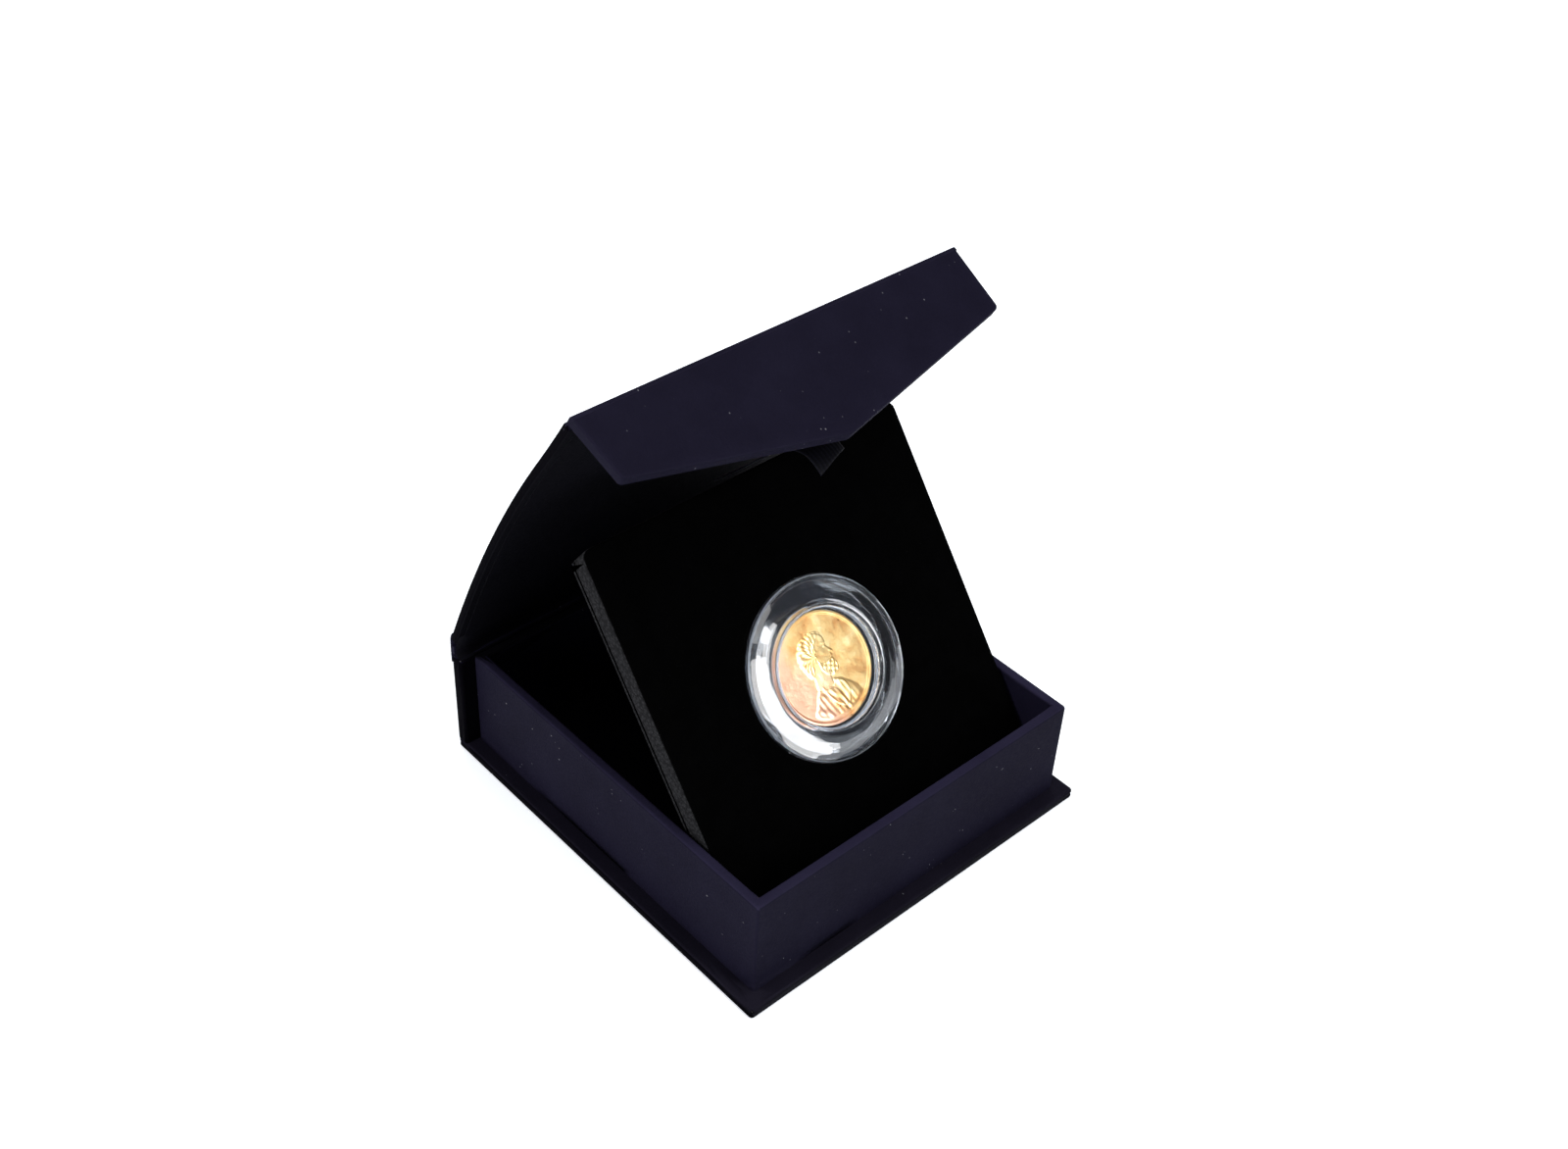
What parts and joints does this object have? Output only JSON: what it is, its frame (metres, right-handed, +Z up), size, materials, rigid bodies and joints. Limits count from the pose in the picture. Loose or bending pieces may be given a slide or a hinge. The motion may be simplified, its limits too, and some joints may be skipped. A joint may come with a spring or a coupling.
{
  "type": "coin display box",
  "caption": "Small book-style case with a bowed hinged lid, a pointed magnetic flap and a tray; a velvet pad stands up from it, holding a clear round capsule with a coin.",
  "frame": {"origin": "middle of the case's footprint, on the face it stands on", "axes": "+Z up, -Y to the side where the flap closes, +Y to the spine, +X to the right seen from the flap side"},
  "size_m": [0.0756, 0.079, 0.0915],
  "materials": {
    "navy_paper": "satin",
    "liner_paper": "matte",
    "board": "matte",
    "backing_card": "matte",
    "foam": "matte",
    "velvet": "matte",
    "ribbon": "satin",
    "acrylic": "gloss",
    "copper": "polished",
    "steel": "satin",
    "magnet": "satin"
  },
  "bodies": {
    "case": {"base_board": "board", "base_paper": "navy_paper", "spine_board": "board", "spine_paper": "navy_paper", "tray_wall_front": "board", "tray_wall_back": "board", "tray_wall_left": "board", "tray_wall_right": "board", "strike_plate": "steel", "tray_paper": "navy_paper", "tray_floor_liner": "liner_paper"},
    "hinge": {"hinge_paper": "navy_paper"},
    "lid": {"lid_board": "board", "lid_paper": "navy_paper", "lid_liner": "liner_paper"},
    "flap": {"flap_board": "board", "flap_magnet": "magnet", "flap_paper": "navy_paper", "flap_liner": "liner_paper"},
    "pad": {"pad_backing": "backing_card", "pad_foam": "foam", "pad_velvet": "velvet", "capsule_dish": "acrylic", "capsule_cover": "acrylic", "coin": "copper", "pull_ribbon": "ribbon"}
  },
  "joints": [
    {"name": "spine_fold", "type": "hinge", "parent": "case", "child": "hinge", "pos_m": [0, 0.0388, 0.02195], "axis": [-1, 0, 0], "range_deg": [-48, 0]},
    {"name": "lid_fold", "type": "hinge", "parent": "hinge", "child": "lid", "pos_m": [0, 0.0388, 0.02415], "axis": [-1, 0, 0], "range_deg": [-13, 119]},
    {"name": "flap_fold", "type": "hinge", "parent": "lid", "child": "flap", "pos_m": [0, 0.00403, 0.08956], "axis": [-1, 0, 0], "range_deg": [0, 150]},
    {"name": "pad_tilt", "type": "hinge", "parent": "case", "child": "pad", "pos_m": [0, -0.03766, 0.01479], "axis": [-1, 0, 0], "range_deg": [0, 51.9], "deforming": ["pull_ribbon"]}
  ],
  "couplings": [
    {"joint": "spine_fold", "follows": "pad_tilt", "ratio": -0.9248}
  ]
}
